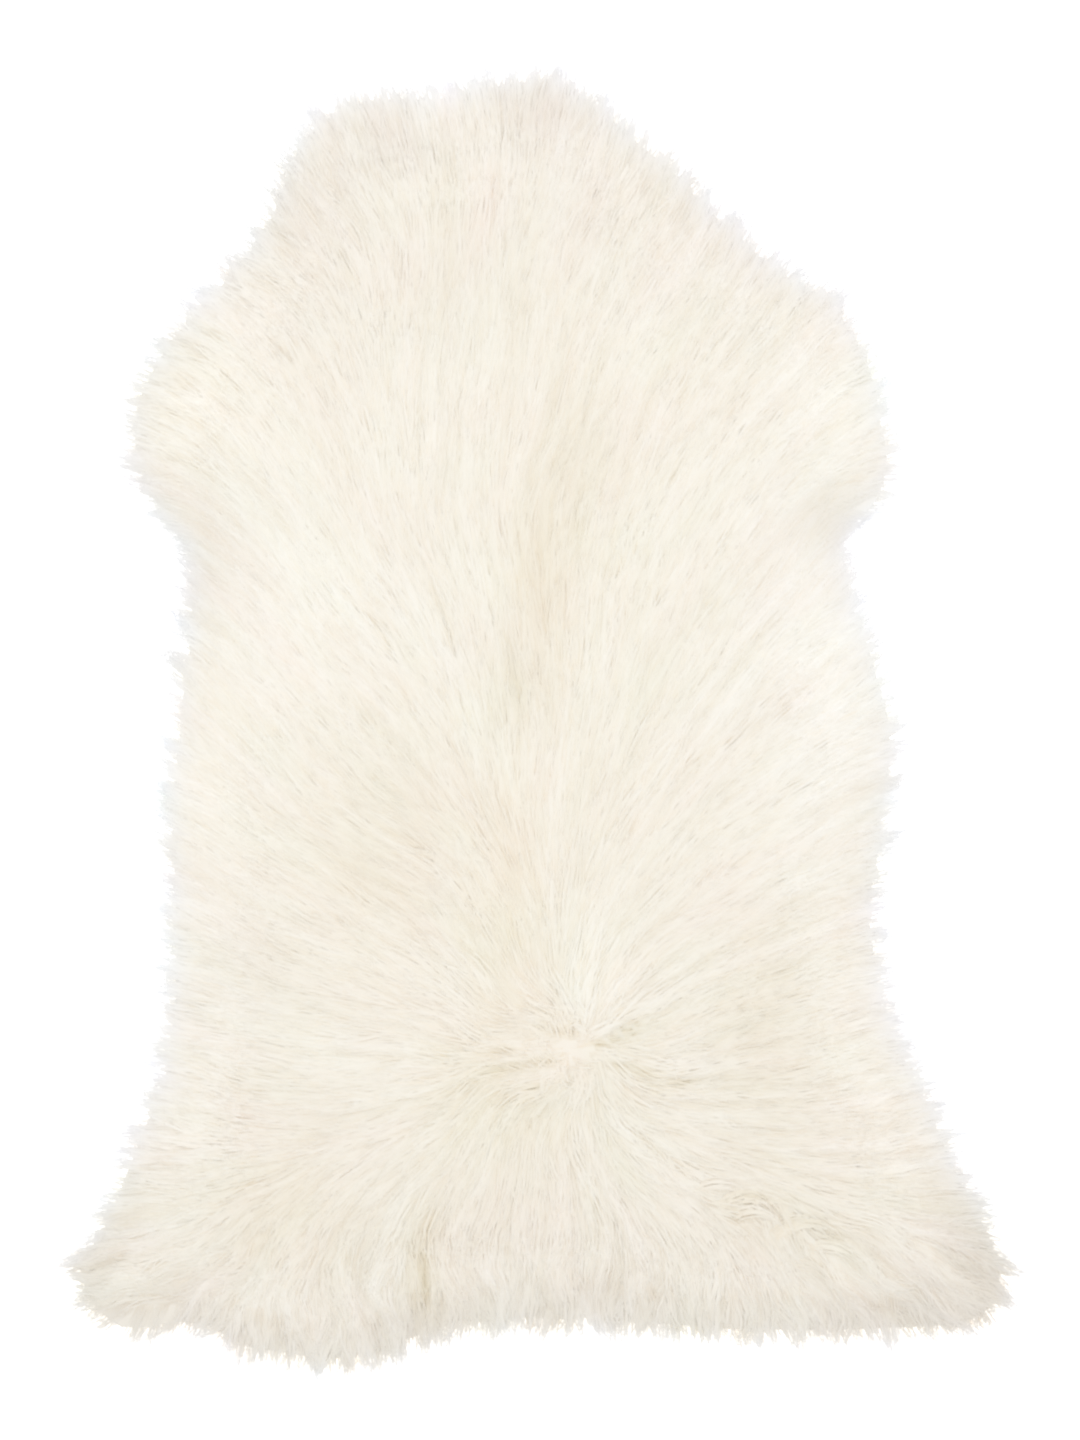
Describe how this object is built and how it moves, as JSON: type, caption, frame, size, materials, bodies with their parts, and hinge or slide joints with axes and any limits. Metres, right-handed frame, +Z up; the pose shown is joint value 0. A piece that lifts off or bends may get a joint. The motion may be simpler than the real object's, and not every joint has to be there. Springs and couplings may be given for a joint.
{
  "type": "sheepskin rug",
  "caption": "Single sheepskin lying flat, wool side up: a lumpy fleece combed outward from its spine and a whorl over the rump, with locks of wool around its rim, to lay on a floor or a seat.",
  "frame": {"origin": "on the floor under the middle of the rug's bounding box", "axes": "+Z up out of the wool, +Y from the rump towards the neck, +X to the right as seen from above"},
  "size_m": [0.7276, 1.0014, 0.0479],
  "materials": {
    "wool": "ivory combed wool, soft and slightly silky, warmer down in the pile",
    "hide": "pale tanned suede, the flesh side of the pelt"
  },
  "bodies": {
    "root": {"sheepskin": "wool"}
  },
  "joints": []
}
